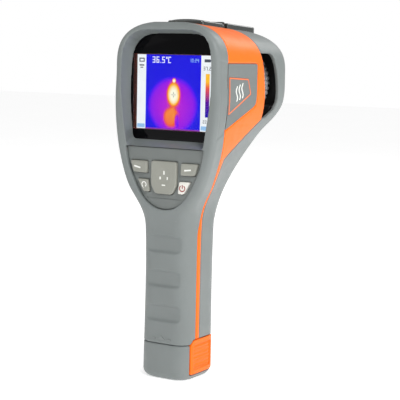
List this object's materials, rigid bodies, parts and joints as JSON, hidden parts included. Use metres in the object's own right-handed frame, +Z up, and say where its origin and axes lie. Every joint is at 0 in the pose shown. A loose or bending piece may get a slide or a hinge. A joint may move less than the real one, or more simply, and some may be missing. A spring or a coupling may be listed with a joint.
{
  "type": "thermal imaging camera",
  "caption": "Handheld thermal imaging camera with a deep-set display, a keypad, a hooded lens with a knurled focus ring, and a battery grip.",
  "frame": {"origin": "centre of the flat underside of the battery's base cap", "axes": "+Z up along the handle, +Y out of the lens, -Y out of the display towards the user, +X to the user's right"},
  "size_m": [0.0754, 0.095, 0.2206],
  "materials": {
    "grey_shell": "fine moulded grain, warm mid grey",
    "orange_shell": "smooth satin orange",
    "side_pad": "fine grain, slightly darker grey",
    "keypad_inlay": "dark grey, fine grain",
    "key_caps": "satin light grey",
    "power_key_cap": "satin off-white",
    "soft_rubber": "black rubber",
    "ring_rubber": "mid grey, moulded knurls",
    "top_plate": "dark grey, glossy",
    "black_plastic": "black, satin",
    "display_glass": "black-backed glass",
    "lens_germanium": "coated infrared lens, dark blue reflection",
    "clear_optics": "small camera window",
    "lamp": "moulded lamp lens",
    "circuit_board": "green solder mask",
    "steel": "plain steel",
    "brass": "plated contacts"
  },
  "bodies": {
    "housing": {"rear_cover": "grey_shell", "front_housing": "grey_shell", "mid_frame": "orange_shell", "side_pad_right": "side_pad", "side_pad_left": "side_pad", "label_plate_right": "side_pad", "label_plate_left": "side_pad", "keypad_panel": "keypad_inlay", "window_gasket": "soft_rubber", "keypad_membrane": "soft_rubber", "top_trim": "top_plate", "lcd_panel": "black_plastic", "buzzer": "black_plastic", "ir_core": "black_plastic", "front_bulkhead": "black_plastic", "lens_barrel": "black_plastic", "lens_retaining_ring": "black_plastic", "front_liner": "black_plastic", "visible_camera": "black_plastic", "trigger_switch": "black_plastic", "contact_block": "black_plastic", "display_window": "display_glass", "ir_lens": "lens_germanium", "camera_window": "clear_optics", "led_lamp": "lamp", "keypad_board": "circuit_board", "main_board": "circuit_board", "board_screw_1": "steel", "board_screw_2": "steel", "shutter_post": "steel", "bulkhead_screw_1": "steel", "bulkhead_screw_2": "steel", "bulkhead_screw_3": "steel", "bulkhead_screw_4": "steel", "port_hinge_pin": "steel", "usb_socket": "steel", "card_slot": "steel", "trigger_pin": "steel", "trigger_spring": "steel", "handle_screw_1": "steel", "handle_screw_2": "steel"},
    "left_soft_key": {"left_soft_key": "key_caps"},
    "right_soft_key": {"right_soft_key": "key_caps"},
    "back_key": {"back_key": "key_caps"},
    "power_key": {"power_key": "power_key_cap"},
    "nav_pivot": {"nav_pivot": "black_plastic"},
    "nav_key": {"nav_key": "key_caps"},
    "focus_ring": {"focus_ring": "ring_rubber"},
    "shutter": {"shutter_flag": "steel"},
    "port_cover": {"port_cover": "top_plate"},
    "trigger": {"trigger": "black_plastic"},
    "battery": {"battery_case": "black_plastic", "battery_terminal_1": "brass", "battery_terminal_2": "brass", "battery_terminal_3": "brass", "base_cap": "grey_shell", "latch_spring": "steel"},
    "battery_latch": {"battery_latch": "orange_shell"}
  },
  "joints": [
    {"name": "left_soft_key_press", "type": "slide", "parent": "housing", "child": "left_soft_key", "axis": [0, 1, 0], "range_m": [0, 0.0008], "stiffness_N_per_m": 300, "springref_m": -0.0005},
    {"name": "right_soft_key_press", "type": "slide", "parent": "housing", "child": "right_soft_key", "axis": [0, 1, 0], "range_m": [0, 0.0008], "stiffness_N_per_m": 300, "springref_m": -0.0005},
    {"name": "back_key_press", "type": "slide", "parent": "housing", "child": "back_key", "axis": [0, 1, 0], "range_m": [0, 0.0008], "stiffness_N_per_m": 300, "springref_m": -0.0005},
    {"name": "power_key_press", "type": "slide", "parent": "housing", "child": "power_key", "axis": [0, 1, 0], "range_m": [0, 0.0008], "stiffness_N_per_m": 300, "springref_m": -0.0005},
    {"name": "nav_sideways_tilt", "type": "hinge", "parent": "housing", "child": "nav_pivot", "pos_m": [0, -0.0143, 0.125], "axis": [0, 0, 1], "range_deg": [-2.5, 2.5], "stiffness_Nm_per_rad": 0.05},
    {"name": "nav_up_down_tilt", "type": "hinge", "parent": "nav_pivot", "child": "nav_key", "pos_m": [0, -0.0143, 0.125], "axis": [1, 0, 0], "range_deg": [-2.5, 2.5], "stiffness_Nm_per_rad": 0.05},
    {"name": "focus_turn", "type": "hinge", "parent": "housing", "child": "focus_ring", "pos_m": [0, 0.061, 0.1823], "axis": [0, 1, 0], "range_deg": [-60, 60]},
    {"name": "shutter_swing", "type": "hinge", "parent": "housing", "child": "shutter", "pos_m": [0.015, 0.0322, 0.1943], "axis": [0, 1, 0], "range_deg": [0, 60]},
    {"name": "port_cover_hinge", "type": "hinge", "parent": "housing", "child": "port_cover", "pos_m": [0, 0.028, 0.21824], "axis": [-1, 0, 0], "range_deg": [0, 100]},
    {"name": "trigger_pull", "type": "hinge", "parent": "housing", "child": "trigger", "pos_m": [0, 0.023, 0.121], "axis": [-1, 0, 0], "range_deg": [0, 8], "stiffness_Nm_per_rad": 0.08, "springref_deg": -8.59},
    {"name": "battery_slide", "type": "slide", "parent": "housing", "child": "battery", "axis": [0, 0, -1], "range_m": [0, 0.075]},
    {"name": "battery_latch_press", "type": "slide", "parent": "battery", "child": "battery_latch", "axis": [-1, 0, 0], "range_m": [0, 0.0012], "stiffness_N_per_m": 400, "springref_m": -0.001}
  ]
}
